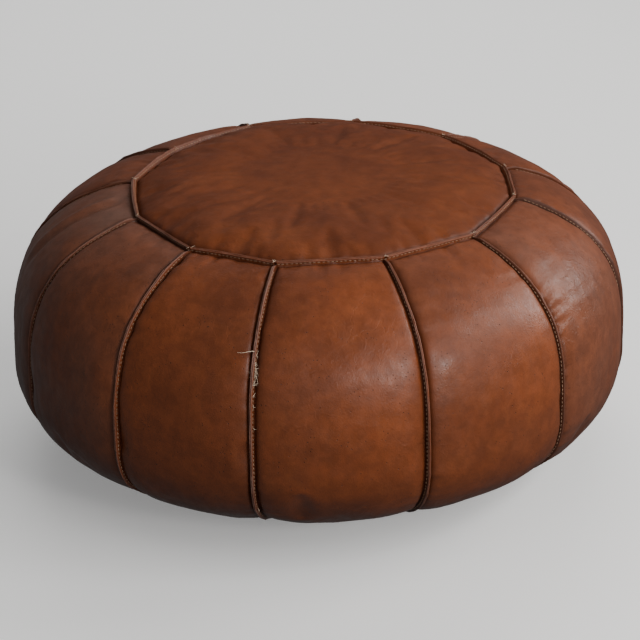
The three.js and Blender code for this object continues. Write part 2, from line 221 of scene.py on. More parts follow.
# Runs Blender's cloth on the ring-by-ring points and returns where they come to rest
def blowOut(points):
    rings, around = points.shape[:2]
    ids = np.arange(rings * around).reshape(rings, around)
    nextIds = np.roll(ids, -1, 1)
    quads = np.stack([ids[:-1], nextIds[:-1], nextIds[1:], ids[1:]], -1).reshape(-1, 4)
    mesh = bpy.data.meshes.new("leatherCloth")
    mesh.from_pydata(points.reshape(-1, 3).tolist(), [], quads.tolist())
    obj = bpy.data.objects.new("leatherCloth", mesh)
    bpy.context.collection.objects.link(obj)
    pinned = np.zeros((rings, around), bool)
    pinned[:, :: cloth["columns"]] = True
    pinned[cloth["rows"] + 1 :] = False
    pinned[[0, cloth["rows"], rings - 1]] = True
    group = obj.vertex_groups.new(name="held")
    group.add(ids[pinned].tolist(), 1.0, "REPLACE")
    bpy.context.view_layer.objects.active = obj
    modifier = obj.modifiers.new("Cloth", "CLOTH")
    settings = modifier.settings
    settings.quality = 5
    settings.mass = 0.4
    settings.air_damping = 6.0
    settings.tension_stiffness = cloth["tension"]
    settings.compression_stiffness = cloth["tension"]
    settings.shear_stiffness = cloth["tension"] * 0.4
    settings.bending_stiffness = cloth["bending"]
    settings.shrink_min = cloth["growth"]
    settings.shrink_max = cloth["growth"]
    settings.use_pressure = True
    settings.uniform_pressure_force = cloth["pressure"]
    settings.vertex_group_mass = "held"
    settings.pin_stiffness = 5.0
    settings.effector_weights.gravity = 0
    modifier.collision_settings.use_collision = False
    modifier.point_cache.frame_end = cloth["frames"] + 1
    for step in range(1, cloth["frames"] + 1):
        bpy.context.scene.frame_set(step)
    evaluated = obj.evaluated_get(bpy.context.evaluated_depsgraph_get())
    rested = np.empty(len(mesh.vertices) * 3)
    evaluated.data.vertices.foreach_get("co", rested)
    bpy.context.scene.frame_set(1)
    bpy.data.objects.remove(obj)
    bpy.data.meshes.remove(mesh)
    moved = rested.reshape(points.shape) - points
    far = np.linalg.norm(moved, axis=-1, keepdims=True)
    print("cloth moved up to", round(float(far.max()) * 1000, 1), "mm")
    capped = np.minimum(1, cloth["cap"] / np.maximum(far, 1e-9))
    return points + moved * capped * (1 - pinned[..., None])


coverPoints, rimAngles = startCover()
coverPoints = blowOut(coverPoints)
print("cover at rest")

# Reading the rested leather between its cloth points


def padGrid(grid, wrap=False):
    grid = np.concatenate([2 * grid[:1] - grid[1:2], grid, 2 * grid[-1:] - grid[-2:-1]], 0)
    if wrap:
        return np.concatenate([grid[:, -1:], grid, grid[:, :2]], 1)
    return np.concatenate([2 * grid[:, :1] - grid[:, 1:2], grid, 2 * grid[:, -1:] - grid[:, -2:-1]], 1)


# Points at any places along a line whose own points are at known places
def alongLine(at, known, line):
    return np.stack([np.interp(at, known, line[:, k]) for k in range(3)], -1)


def taps(place, count):
    low = np.clip(np.floor(place).astype(int), 0, count - 2)
    f = place - low
    weights = [
        0.5 * (-f + 2 * f**2 - f**3),
        0.5 * (2 - 5 * f**2 + 3 * f**3),
        0.5 * (f + 4 * f**2 - 3 * f**3),
        0.5 * (-(f**2) + f**3),
    ]
    return low, weights


# Smooth in-between points of a grid, at fractional rows and columns
def sample(grid, rowAt, columnAt, wrap=False):
    rows, columns = grid.shape[0], grid.shape[1] + (1 if wrap else 0)
    padded = padGrid(grid, wrap)
    rowLow, rowWeights = taps(rowAt, rows)
    columnLow, columnWeights = taps(columnAt, columns)
    total = 0
    for i in range(4):
        for j in range(4):
            weight = (rowWeights[i] * columnWeights[j])[..., None]
            total = total + weight * padded[rowLow + i, columnLow + j]
    return total


def gridNormals(points, wrap=False):
    inward = np.gradient(points, axis=0)
    if wrap:
        across = np.roll(points, -1, 1) - np.roll(points, 1, 1)
    else:
        across = np.gradient(points, axis=1)
    return unit(np.cross(across, inward))


# Smooth random values from -1 to 1 along a line, which repeat after so many steps
def ripple(place, key, steps=997):
    table = np.random.RandomState(key).uniform(-1, 1, steps)
    low = np.floor(place).astype(int)
    f = smooth(place - low)
    return table[low % steps] * (1 - f) + table[(low + 1) % steps] * f


# Smooth random values from about -1 to 1 in space
def lumps(points, size, key):
    flat = points.reshape(-1, 3) / size + key * 13.7
    return np.array([noise.noise(p) for p in flat.tolist()]).reshape(points.shape[:-1])


# Leather panels: a plate that dips to its seams and turns outward there as one ply of a raised edge.

leather = dict(
    thick=0.0014,
    fin=0.0068,  # height of a side seam's raised edge
    rimFin=0.0056,
    finLevels=[1.0, 0.8, 0.55, 0.3, 0.08],
    nearSeam=[0.0014, 0.0019, 0.0028, 0.0042, 0.0062, 0.0090, 0.0125],  # columns close to a seam
    acrossGore=64,
    upGore=190,
    valley=0.0028,  # extra dip beside the raised edge
    valleyWidth=0.0035,
    pucker=0.0011,  # gathers that run off a seam
    puckerReach=0.017,
    puckerPitch=0.0125,
    lump=0.0012,  # unevenness of the filling under the leather
    lumpSize=0.055,
    crease=0.00035,
    creaseSize=0.017,
)
# lean of each side seam's raised edge, in degrees towards +X, from the front seam on
seamLean = [-17, 14, 18, 26, -12, 18, -8, 10, -14, 18, -8, -15]
# height of each side seam's raised edge against the usual, and how pale its cut edge is painted: rubbed wear,
# with a painted highlight on the edges that face the light
seamTall = [0.80, 0.64, 0.62, 0.9, 0.9, 0.9, 0.9, 0.85, 0.9, 0.85, 0.6, 0.70]
seamWearAndHighlight = [0.85, 0.28, 0.2, 0.12, 0.3, 0.5, 0.4, 0.5, 0.3, 0.15, 0.6, 0.6]
# painted shade on the side of it that looks back to the front, the face turned away from the light
seamPaintedShade = [0.3, 0.95, 0.95, 0.95, 0.5, 0.5, 0.5, 0.5, 0.5, 0.6, 0.3, 0.3]

# creases pulled off a seam: gore, height up it, run, slope, depth and half width
creases = [
    (2, 0.752, 0.030, 0.12, 0.0012, 0.0044),
    (2, 0.712, 0.044, -0.10, 0.0017, 0.0046),
    (2, 0.668, 0.038, 0.04, 0.0015, 0.0042),
    (2, 0.630, 0.022, -0.06, 0.0008, 0.0036),
    (2, 0.555, 0.014, 0.05, 0.0010, 0.0028),
    (2, 0.528, 0.015, 0.00, 0.0010, 0.0028),
    (2, 0.494, 0.012, 0.00, 0.0009, 0.0028),
    (0, 0.420, 0.014, -0.05, 0.0007, 0.0032),
    (5, 0.620, 0.034, 0.08, 0.0014, 0.0042),
    (7, 0.560, 0.030, -0.10, 0.0013, 0.0040),
]
# slack, finely crinkled leather high on one gore
crinkled = dict(gore=2, deep=0.00055, wide=0.010, fine=0.0055)
# a long slack fold that runs down between the seams of another
longFold = {"gore": 9, "across": 0.52, "from": 0.64, "deep": 0.0030, "half": 0.007, "ridge": 0.013}


# Sideways and outward offsets of one ply's outer face, tip first. ply is 1 or -1
def finProfile(height, lean, ply):
    q = np.array(leather["finLevels"])
    lean = np.where(np.abs(lean) < 0.02, 0.02, lean)[..., None]
    height = np.asarray(height)[..., None]
    bend = lean * q
    sideways = height * (1 - np.cos(bend)) / lean + ply * leather["thick"] * np.cos(bend)
    outward = height * np.sin(bend) / lean - ply * leather["thick"] * np.sin(bend)
    return sideways, outward


def meshFrom(name, points, faces, smoothAngle=50):
    mesh = bpy.data.meshes.new(name)
    mesh.from_pydata(points, [], faces)
    obj = bpy.data.objects.new(name, mesh)
    bpy.context.collection.objects.link(obj)
    bpy.ops.object.select_all(action="DESELECT")
    obj.select_set(True)
    bpy.context.view_layer.objects.active = obj
    bpy.ops.object.shade_smooth_by_angle(angle=math.radians(smoothAngle))
    return obj


def gridFaces(rows, columns, wrap=False):
    ids = np.arange(rows * columns).reshape(rows, columns)
    right = np.roll(ids, -1, 1)
    quads = np.stack([ids[:-1], right[:-1], right[1:], ids[1:]], -1)
    if not wrap:
        quads = quads[:, :-1]
    return quads.reshape(-1, 4).tolist()


def gridMesh(name, grid):
    return meshFrom(name, grid.reshape(-1, 3).tolist(), gridFaces(*grid.shape[:2]))


# One number at each point, or the same number at all of them, under each name
def setAttributes(obj, **layers):
    count = len(obj.data.vertices)
    for name, values in layers.items():
        values = np.asarray(values, dtype=np.float32).ravel()
        layer = obj.data.attributes.new(name, "FLOAT", "POINT")
        layer.data.foreach_set("value", np.resize(values, count))


def solidify(obj, thickness):
    modifier = obj.modifiers.new("Solidify", "SOLIDIFY")
    modifier.thickness = thickness
    modifier.offset = -1
    bpy.context.view_layer.objects.active = obj
    bpy.ops.object.modifier_apply(modifier="Solidify")


def bumpsOf(points, key):
    return leather["lump"] * lumps(points, leather["lumpSize"], key) + leather["crease"] * lumps(
        points, leather["creaseSize"], key + 3
    )


# The dip close beside a seam
def valleyAt(away):
    return leather["valley"] * bell((away - leather["thick"]) / leather["valleyWidth"])


# Gathers run off a seam: away is the distance from it, place counts gathers along it
def gathers(away, place, key, count=980):
    wave = ripple(place, key, count) + 0.5 * ripple(2 * place, key + 50, 2 * count)
    strength = 0.35 + 0.65 * smooth(0.5 + ripple(place / 7, key + 90, count // 7))
    fade = np.exp(-away / leather["puckerReach"]) * smooth(away / 0.003)
    return leather["pucker"] * wave * strength * fade


# Height that creases and folds add to a gore's leather
def creaseLift(index, u, v, width, length):
    total = 0 * u
    for gore, high, run, slope, deep, half in creases:
        if gore == index:
            away = u * width
            off = (v - high) * length - slope * away - 0.0016 * ripple(away / 0.009, int(high * 1000))
            fade = smooth((run - away) / (0.9 * run)) * smooth(away / 0.003)
            half = half * (1 + 0.5 * away / run)
            total = total - deep * fade * (bell(off / half) - 0.7 * bell(off / half - 1.7))
    if index == crinkled["gore"]:
        patch = bell((v - 0.73) / 0.10) * bell((u - 0.30) / 0.28)
        wide = ripple(v * length / crinkled["wide"] + 2.2 * u, 71)
        fine = ripple(v * length / crinkled["fine"] - 3 * u, 72)
        wave = (wide + 0.7 * fine) * (0.6 + 0.4 * ripple(u * 9, 73))
        total = total + crinkled["deep"] * patch * wave
    if index == longFold["gore"]:
        off = (u - longFold["across"] - 0.03 * np.sin(v * 9)) * width
        fade = smooth((v - longFold["from"]) / 0.1) * smooth((0.99 - v) / 0.05)
        ridge = 0.6 * bell((off + longFold["ridge"]) / longFold["half"])
        total = total - longFold["deep"] * fade * (bell(off / longFold["half"]) - ridge)
    return total


# Points and outward normals of a side seam, one for each cloth row
def seamLine(index):
    points = coverPoints[: cloth["rows"] + 1, (index % goreCount) * cloth["columns"]]
    v = np.linspace(0, 1, cloth["rows"] + 1)
    angle, t = goreT(index % goreCount, 0.0, v)
    return points, skinNormal(angle + 0 * t, t)


def fineRows(length):
    near = np.array(leather["nearSeam"]) / length
    middle = np.linspace(near[-1], 1 - near[-1], leather["upGore"] + 2)[1:-1]
    return np.concatenate([near, middle, 1 - near[::-1]])


# One ply of a side seam's raised edge: offsets from the seam, for each fine row and fin level
def goreFin(index, rows, length, side):
    seam = (index + (0 if side > 0 else 1)) % goreCount
    line, normal = seamLine(seam)
    at = rows * cloth["rows"]
    places = np.arange(cloth["rows"] + 1)
    point = alongLine(at, places, line)
    normal = unit(alongLine(at, places, normal))
    tangent = unit(np.gradient(point, axis=0))
    sideways = unit(np.cross(tangent, normal))
    along = rows * length
    fromRim = np.minimum(rows, 1 - rows) * length
    wander = ripple(along / 0.05, 200 + seam)
    height = leather["fin"] * seamTall[seam] * (0.92 + 0.14 * ripple(along / 0.03, 300 + seam))
    key = seam + 20 * side
    ragged = 0.09 * ripple(along / 0.014, 340 + key) + 0.05 * ripple(along / 0.005, 380 + key)
    height = 0.0008 + height * (1 + ragged) * smooth(fromRim / 0.011)
    lean = np.radians(seamLean[seam] + 10 * wander)
    across, outward = finProfile(height, lean, side)
    base = point - normal * 0.0008
    fin = base[:, None] + sideways[:, None] * across[..., None] + normal[:, None] * outward[..., None]
    return fin


def radial(angle):
    return np.stack([np.sin(angle), -np.cos(angle), 0 * angle], -1)


# The rim's edge stands taller at the back left, and its cut edge is painted paler there: rubbed wear and a
# painted highlight where the light falls on it. 0 to 1
def rimTallAndHighlight(angle):
    return bell(((np.degrees(angle) - 252 + 180) % 360 - 180) / 42)


# One ply of the raised edge round the top: points run round the rim, ply is 1 on the outside
def topFin(points, normal, angle, ply):
    turns = angle / (2 * math.pi)
    height = leather["rimFin"] * (0.88 + 0.14 * ripple(turns * 40, 402, 40) + 0.25 * rimTallAndHighlight(angle))
    height = height * (1 + 0.08 * ripple(turns * 110, 404 + ply, 110))
    lean = np.radians(6 + 12 * ripple(turns * 24, 401, 24))
    across, outward = finProfile(height, lean, ply)
    climb = math.radians(72)
    stand = unit(normal * math.sin(climb) + radial(angle) * math.cos(climb))
    level = unit(radial(angle) - stand * (radial(angle) * stand).sum(-1, keepdims=True))
    start = points - stand * 0.0008
    return start[:, None] + level[:, None] * across[..., None] + stand[:, None] * outward[..., None]


# The edge round the base points outward and a little down; ply is 1 on top
def baseFin(points, angle, ply):
    climb = math.radians(-8)
    stand = radial(angle) * math.cos(climb) + np.array([0, 0, math.sin(climb)])
    q = np.array(leather["finLevels"])[None, :, None]
    return points[:, None] + stand[:, None] * q * leather["rimFin"] + np.array([0, 0, ply * leather["thick"]])


# Seam points, normals and round-the-pouf angles along a gore's top (v = 1) or base (v = 0) rim
def rimEnd(index, u, v):
    row = cloth["rows"] if v else 0
    columns = (index * cloth["columns"] + np.arange(cloth["columns"] + 1)) % coverPoints.shape[1]
    line = coverPoints[row, columns]
    at = np.clip(u, 0, 1) * cloth["columns"]
    places = np.arange(cloth["columns"] + 1)
    point = alongLine(at, places, line)
    angle, t = goreT(index, u, v)
    return point, skinNormal(angle, t + 0 * angle), angle


def makeGore(index):
    columns, rows = cloth["columns"], cloth["rows"]
    around = (index * columns + np.arange(columns + 1)) % coverPoints.shape[1]
    grid = coverPoints[: rows + 1, around]
    lengths = np.linalg.norm(np.diff(grid, axis=0), axis=-1).sum(0).mean()
    v = fineRows(lengths)
    widthAt = np.linalg.norm(np.diff(grid, axis=1), axis=-1).sum(1)
    width = np.interp(v * rows, np.arange(rows + 1), widthAt)[:, None]
    near = np.array(leather["nearSeam"])[None, :] / width
    share = np.linspace(0, 1, leather["acrossGore"] + 2)[1:-1][None, :]
    u = np.concatenate([near, near[:, -1:] + (1 - 2 * near[:, -1:]) * share, 1 - near[:, ::-1]], 1)
    vGrid = v[:, None] + 0 * u
    plate = sample(grid, vGrid * rows, u * columns)
    normal = gridNormals(plate)
    left, right = u * width, (1 - u) * width
    low, high = vGrid * lengths, (1 - vGrid) * lengths
    edge = np.minimum(np.minimum(left, right), np.minimum(low, high))
    lift = bumpsOf(plate, 1) * smooth(edge / 0.01)
    for away, along, key in [(left, high, 11 + index), (right, high, 31 + index), (high, left, 51 + index)]:
        lift = lift + gathers(away, along / leather["puckerPitch"], key)
    lift = lift - valleyAt(edge)
    lift = lift + creaseLift(index, u, vGrid, width, lengths)
    plate = plate + normal * lift[..., None]

    leftFin = goreFin(index, v, lengths, 1)
    rightFin = goreFin(index, v, lengths, -1)
    middle = np.concatenate([leftFin, plate, rightFin[:, ::-1]], 1)
    levels = len(leather["finLevels"])

    def rimRows(end):
        row = -1 if end else 0
        point, rimNormal, angle = rimEnd(index, u[row], end)
        fin = topFin(point, rimNormal, angle, 1) if end else baseFin(point, angle, 1)
        leftSide = fin[:1] + (leftFin[row] - leftFin[row][-1:])[:, None]
        rightSide = fin[-1:] + (rightFin[row] - rightFin[row][-1:])[:, None]
        return np.swapaxes(np.concatenate([leftSide, fin, rightSide[::-1]], 0), 0, 1)

    whole = np.concatenate([rimRows(0), middle, rimRows(1)[::-1]], 0)
    wear = np.zeros(whole.shape[:2])
    dirt = np.zeros(whole.shape[:2])
    q = np.array(leather["finLevels"]) ** 5
    # pale cut edges: rubbed wear, and a painted highlight on the seams that face the light
    wear[:, :levels] = q * seamWearAndHighlight[index]
    wear[:, -levels:] = q[::-1] * seamWearAndHighlight[(index + 1) % goreCount]
    # the rim's cut edge painted pale: rubbed wear, and a painted highlight at the back left
    rimWearAndHighlight = np.pad(0.3 + 0.7 * rimTallAndHighlight(rimEnd(index, u[-1], 1)[2]), levels)
    wear[:levels] = np.maximum(wear[:levels], 0.3 * q[:, None])
    wear[-levels:] = np.maximum(wear[-levels:], q[::-1, None] * rimWearAndHighlight[None, :])
    # dirt with painted shade: darker in the dip beside each seam
    dirt[levels:-levels, levels:-levels] = 0.85 * np.exp(-edge / 0.0045)
    # painted shade on the right ply's face, the side of the raised edge that the light does not reach
    dirt[levels:-levels, -levels:] = seamPaintedShade[(index + 1) % goreCount] * np.linspace(1, 0.75, levels)
    # darker towards the foot of the left ply's face: dirt with painted shade
    dirt[levels:-levels, :levels] = 0.35 * np.linspace(0, 1, levels)
    crumple = np.zeros(whole.shape[:2])
    if index == worked["gore"]:
        inBand = bell((vGrid - worked["height"]) / worked["halfHeight"])
        crumple[levels:-levels, levels:-levels] = inBand * bell(left / worked["reach"])
    obj = gridMesh(f"leather_gore_{index + 1:02d}", whole)
    setAttributes(obj, wear=wear, dirt=dirt, tone=goreTone[index], dull=goreFadeAndSheen[index], crumple=crumple)
    solidify(obj, leather["thick"] - 0.0001)
    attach(obj, "cover")
    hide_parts(f"side_panel_{index + 1:02d}")
    return obj


# how light or dark each hide is, from the gore right of the front seam on
goreTone = [0.55, 0.52, 0.47, 0.36, 0.45, 0.6, 0.4, 0.5, 0.38, 0.45, 0.40, 0.46]
# how far each hide has lost its warm red, with a painted greyish sheen
goreFadeAndSheen = [0.05, 0.15, 0.40, 0.10, 0.10, 0.20, 0.00, 0.15, 0.10, 0.75, 0.45, 0.05]
# the part of one gore that sitting has crumpled most
worked = dict(gore=2, height=0.68, halfHeight=0.13, reach=0.075)

disc = dict(across=468, rings=54, heart=0.006)


def makeTop():
    rows = cloth["rows"]
    around = coverPoints.shape[1]
    reachSim = np.linspace(1, cloth["discInner"], cloth["discRings"])
    innerReach = np.linspace(cloth["discInner"], 0.0, 20)[1:-1]
    radius = innerReach[:, None] * rimRadius(rimAngles, shape["topCorner"])[None, :]
    t = outlineAngle(radius, shape["topRoundness"])
    inner = skin(rimAngles[None, :] + 0 * t, t)
    table = np.concatenate([coverPoints[rows:], inner], 0)
    reachTable = np.concatenate([reachSim, innerReach])
    size = shape["topCorner"]
    near = 1 - np.array(leather["nearSeam"]) / size
    reach = np.concatenate([near, np.linspace(near[-1], disc["heart"] / size, disc["rings"] + 1)[1:]])
    rowAt = np.interp(-reach, -reachTable, np.arange(len(reachTable)))
    columnAt = np.linspace(0, around, disc["across"], endpoint=False)
    rowGrid, columnGrid = np.meshgrid(rowAt, columnAt, indexing="ij")
    plate = sample(table, rowGrid, columnGrid, wrap=True)
    normal = gridNormals(plate, wrap=True)
    angle = np.interp(columnAt, np.arange(around + 1), np.append(rimAngles, rimAngles[0] + 2 * math.pi))
    away = (1 - reach[:, None]) * rimRadius(angle, size)[None, :]
    place = angle[None, :] / (2 * math.pi) * 112 + 0 * away
    lift = bumpsOf(plate, 5) * smooth(away / 0.012) + 0.8 * gathers(away, place, 77, 112)
    lift = lift - valleyAt(away)
    lift = lift + sitCreases(plate) * smooth(away / 0.02)
    plate = plate + normal * lift[..., None]
    rimLine = np.concatenate([coverPoints[rows], coverPoints[rows, :1]], 0)
    rim = alongLine(columnAt, np.arange(around + 1), rimLine)
    rimNormal = skinNormal(angle, outlineAngle(rimRadius(angle, size), shape["topRoundness"]))
    fin = topFin(rim, rimNormal, angle, -1)
    whole = np.concatenate([np.swapaxes(fin, 0, 1), plate], 0)
    levels = len(leather["finLevels"])
    wear = np.zeros(whole.shape[:2])
    # the rim's cut edge painted pale: rubbed wear, and a painted highlight at the back left
    wear[:levels] = np.array(leather["finLevels"])[:, None] ** 5 * (0.3 + 0.7 * rimTallAndHighlight(angle))[None, :]
    dirt = np.zeros(whole.shape[:2])
    # dirt with painted shade in the dip beside the rim seam
    dirt[levels:] = 0.85 * np.exp(-away / 0.0042)
    points = whole.reshape(-1, 3).tolist()
    points.append([0.0, 0.0, float(plate[-1, :, 2].mean())])
    faces = gridFaces(*whole.shape[:2], wrap=True)
    last = (whole.shape[0] - 1) * disc["across"]
    for i in range(disc["across"]):
        faces.append([last + i, last + (i + 1) % disc["across"], len(points) - 1])
    obj = meshFrom("leather_top", points, faces)
    setAttributes(obj, wear=np.append(wear, 0), dirt=np.append(dirt, 0), tone=0.33)
    solidify(obj, leather["thick"] - 0.0001)
    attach(obj, "cover")
    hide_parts("top_panel")
    return obj


# Slack folds that sitting has left near the front left of the top
def sitCreases(points):
    total = 0
    for x, y, turn, reach, deep in [
        (-0.105, -0.085, 35, 0.050, 0.0016),
        (-0.125, -0.060, 28, 0.040, 0.0012),
        (-0.080, -0.115, 50, 0.035, 0.0010),
        (0.075, 0.050, -20, 0.060, 0.0006),
        (-0.030, 0.120, 12, 0.055, 0.0006),
    ]:
        turn = math.radians(turn)
        dx, dy = points[..., 0] - x, points[..., 1] - y
        along = dx * math.cos(turn) + dy * math.sin(turn)
        across = -dx * math.sin(turn) + dy * math.cos(turn) + 0.004 * np.sin(along / 0.012)
        total = total - deep * bell(along / reach) * bell(across / 0.006)
    return total


# Base half-moons: folded back along the zip, turned outward at the rim

base = dict(
    rows=44,
    across=110,
    opening=0.006,  # from the zip's centre line to the folded edge
    mouthEnd=0.168,
    endReach=0.182,
    gap=0.0002,  # between the half-moons past the mouth
    slack=0.0006,
)


# Where the base rim was sewn, at any angle
def baseRim(angle):
    known = np.concatenate([rimAngles - 2 * math.pi, rimAngles, rimAngles + 2 * math.pi])
    line = np.tile(coverPoints[0], (3, 1))
    return alongLine(angle, known, line)


def makeBase(side, name, node):
    start = math.pi / 2 if side > 0 else -math.pi / 2
    angle = np.linspace(start, start + math.pi, base["across"])
    thick = leather["thick"]
    rim = baseRim(angle)
    gap = base["gap"]
    rim[:, 1] = side * np.maximum(side * rim[:, 1], gap)
    zipX = rim[:, 0] * base["endReach"] / shape["baseCorner"]
    mouth = 1 - smooth((np.abs(zipX) - base["mouthEnd"] + 0.010) / 0.012)
    zipY = side * (gap + (base["opening"] - gap) * mouth)
    zipEdge = np.stack([zipX, zipY], -1)
    near = np.array([0, 0.0006, 0.0015, 0.0030, 0.0050]) / 0.2
    reach = np.concatenate([near, np.linspace(0.035, 0.965, base["rows"]), 1 - near[::-1]])[:, None, None]
    flat = zipEdge[None] * (1 - reach) + rim[None, :, :2] * reach
    x, y = flat[..., 0], flat[..., 1]
    rise = rim[:, 2] - thick - baseHeight(rim[:, 0], rim[:, 1])
    z = baseHeight(x, y) + rise[None] * reach[..., 0] ** 12
    plate = np.stack([x, y, z], -1)
    slack = lumps(plate, 0.04, 9) * base["slack"] * smooth((z - 0.001) / 0.004)
    plate[..., 2] += np.maximum(slack, 0)
    fin = np.swapaxes(baseFin(rim, angle, -1), 0, 1)[::-1]
    whole = np.concatenate([plate, fin], 0)
    wear = np.zeros(whole.shape[:2])
    wear[-len(fin) :] = np.array(leather["finLevels"])[::-1, None] ** 6
    wear[:2] = 0.6
    # darker towards the zip's centre line
    dirt = np.exp(-np.abs(whole[..., 1]) / 0.01)
    obj = gridMesh(name, whole)
    setAttributes(obj, wear=wear, dirt=dirt, tone=0.2)
    solidify(obj, thick - 0.0001)
    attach(obj, "cover")
    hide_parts(node)
    return obj


# Sewing thread: short stitches through both plies

thread = dict(pitch=0.0048, length=0.0034, radius=0.00042, height=0.45, sides=6)


# Faces of a closed tube: rings of points one after another, the first at start
def tubeFaces(start, rings, sides):
    faces = []
    for ring in range(rings - 1):
        for k in range(sides):
            a, b = start + ring * sides + k, start + ring * sides + (k + 1) % sides
            faces.append([a, b, b + sides, a + sides])
    last = start + (rings - 1) * sides
    faces.append([start + k for k in range(sides)][::-1])
    faces.append([last + k for k in range(sides)])
    return faces


# One stitch along +X with its rounded back towards +Z, as points and faces
def stitchTemplate():
    # place along the stitch, thickness and rise, each against the whole
    stations = [
        (-0.5, 0.35, -0.8), (-0.42, 0.8, 0.0), (-0.15, 1.0, 0.5),
        (0.15, 1.0, 0.5), (0.42, 0.8, 0.0), (0.5, 0.35, -0.8),
    ]
    points = []
    sides, radius = thread["sides"], thread["radius"]
    for x, fat, rise in stations:
        for k in range(sides):
            a = 2 * math.pi * k / sides
            height = fat * math.sin(a) + rise
            points.append((x * thread["length"], fat * radius * math.cos(a), radius * height))
    return np.array(points), [face[::-1] for face in tubeFaces(0, len(stations), sides)]


stitchPoints, stitchFaces = stitchTemplate()


# A thin round strand along a path, thinner at its end
def strand(path, radius, start, sides=5):
    path = np.asarray(path, float)
    tangent = unit(np.gradient(path, axis=0))
    side = unit(np.cross(tangent, [0.31, 0.22, 0.92]))
    other = np.cross(tangent, side)
    points = []
    for i, centre in enumerate(path):
        fat = radius * (1 - 0.6 * i / (len(path) - 1))
        for k in range(sides):
            a = 2 * math.pi * k / sides
            points.append((centre + fat * (math.cos(a) * side[i] + math.sin(a) * other[i])).tolist())
    return points, tubeFaces(start, len(path), sides)


# Short broken fibres and knots of thread that stand off a point
def tuft(point, outward, along, count, length, radius, chance):
    strands = []
    for _ in range(count):
        lean = outward * chance.uniform(0.1, 0.8) + along * chance.uniform(-1, 1)
        lean = unit(lean + chance.uniform(-0.7, 0.7, 3))
        bend = unit(np.cross(lean, chance.uniform(-1, 1, 3)))
        start = point + along * chance.uniform(-0.0015, 0.0015)
        reach = length * chance.uniform(0.5, 1.2)
        droop = bend * 0.45 - outward * 0.35
        path = [start + reach * (lean * q + droop * q * q) for q in np.linspace(0, 1, 6)]
        strands.append((path, radius * chance.uniform(0.7, 1.2)))
    return strands


# Sews one stitch after another along each row. A row is a line and the way outward from it
def layStitches(name, rows, key, strands=()):
    chance = np.random.RandomState(key)
    allPoints, allFaces = [], []
    loose = 0
    for path, radius in strands:
        strandPoints, strandFaces = strand(path, radius, len(allPoints))
        allPoints.extend(strandPoints)
        allFaces.extend(strandFaces)
        loose = len(allPoints)
    for line, outward in rows:
        step = np.linalg.norm(np.diff(line, axis=0), axis=-1)
        along = np.concatenate([[0], np.cumsum(step)])
        places = np.arange(thread["pitch"] * 0.7, along[-1] - thread["pitch"] * 0.5, thread["pitch"])
        places = places + chance.uniform(-0.0004, 0.0004, len(places))
        centre = alongLine(places, along, line)
        ahead = alongLine(places + 0.001, along, line)
        up = alongLine(places, along, outward)
        forward = unit(ahead - centre)
        up = unit(up - forward * (up * forward).sum(-1, keepdims=True))
        sideways = np.cross(up, forward)
        slant = np.radians(chance.uniform(-7, 7, len(places)))[:, None]
        turned = forward * np.cos(slant) + sideways * np.sin(slant)
        sideways = np.cross(up, turned)
        size = chance.uniform(0.9, 1.08, len(places))[:, None, None]
        basis = np.stack([turned, sideways, up], 1)
        placed = centre[:, None] + size * np.einsum("pk,nkc->npc", stitchPoints, basis)
        for stitch in placed:
            start = len(allPoints)
            allPoints.extend(stitch.tolist())
            allFaces.extend([[start + i for i in face] for face in stitchFaces])
    obj = meshFrom(name, allPoints, allFaces, 80)
    setAttributes(obj, loose=np.arange(len(allPoints)) < loose)
    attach(obj, "cover")
    return obj


# The line at a share of a raised edge's height, and the way its face looks from the other ply
def finMiddle(fin, level):
    q = np.array(leather["finLevels"])[::-1]
    places = np.arange(len(q))
    at = np.interp(level, q, places)
    low = int(at)
    flipped = fin[:, ::-1]
    return flipped[:, low] * (1 - (at - low)) + flipped[:, low + 1] * (at - low)


# A row of stitches on each face of a raised edge
def bothSides(first, second):
    return [(first, first - second), (second, second - first)]


def sewSideSeam(index):
    columns, rows = cloth["columns"], cloth["rows"]
    grid = coverPoints[: rows + 1, index * columns]
    length = np.linalg.norm(np.diff(grid, axis=0), axis=-1).sum()
    v = np.linspace(0.02, 0.98, 160)
    plus = goreFin(index, v, length, 1)
    minus = goreFin((index - 1) % goreCount, v, length, -1)
    right, left = finMiddle(plus, thread["height"]), finMiddle(minus, thread["height"])
    strands = frontFray(v, right, left, plus[:, 0]) if index == 0 else ()
    name = f"seam_thread_{index + 1:02d}"
    return layStitches(name, bothSides(right, left), 500 + index, strands)


fray = dict(
    # height up the seam, count and length of the fibres
    tufts=[
        (0.712, 3, 0.006), (0.695, 4, 0.007), (0.676, 7, 0.010), (0.662, 8, 0.010), (0.650, 3, 0.007),
        (0.634, 5, 0.007), (0.614, 3, 0.005), (0.585, 2, 0.004), (0.540, 2, 0.004), (0.330, 2, 0.005),
    ],
    radius=0.00030,
    tailAt=0.728,
    # the loose end: distance from the seam, off the leather, and down
    tail=[
        (0, 0.0004, 0), (0.002, 0.002, 0.0003), (0.005, 0.0034, 0.0014),
        (0.009, 0.0045, 0.0030), (0.013, 0.0052, 0.0038), (0.0165, 0.0058, 0.0040),
    ],
    tailRadius=0.00038,
)


# The front seam is frayed halfway up, and an end of its thread hangs out to the left
def frontFray(v, right, left, tip):
    chance = np.random.RandomState(61)
    across = unit(right - left)
    up = unit(np.gradient(right, axis=0))
    out = unit(np.cross(across, up))
    strands = []
    for high, count, length in fray["tufts"]:
        i = int(np.argmin(np.abs(v - high)))
        root = right[i] + across[i] * 0.0006
        outward = across[i] * 0.6 + out[i] * 0.5
        strands += tuft(root, outward, up[i], count, length, fray["radius"], chance)
    i = int(np.argmin(np.abs(v - fray["tailAt"])))
    path = []
    for away, off, drop in fray["tail"]:
        path.append(tip[i] - across[i] * (away + 0.001) + out[i] * off - up[i] * drop)
    return strands + [(path, fray["tailRadius"])]


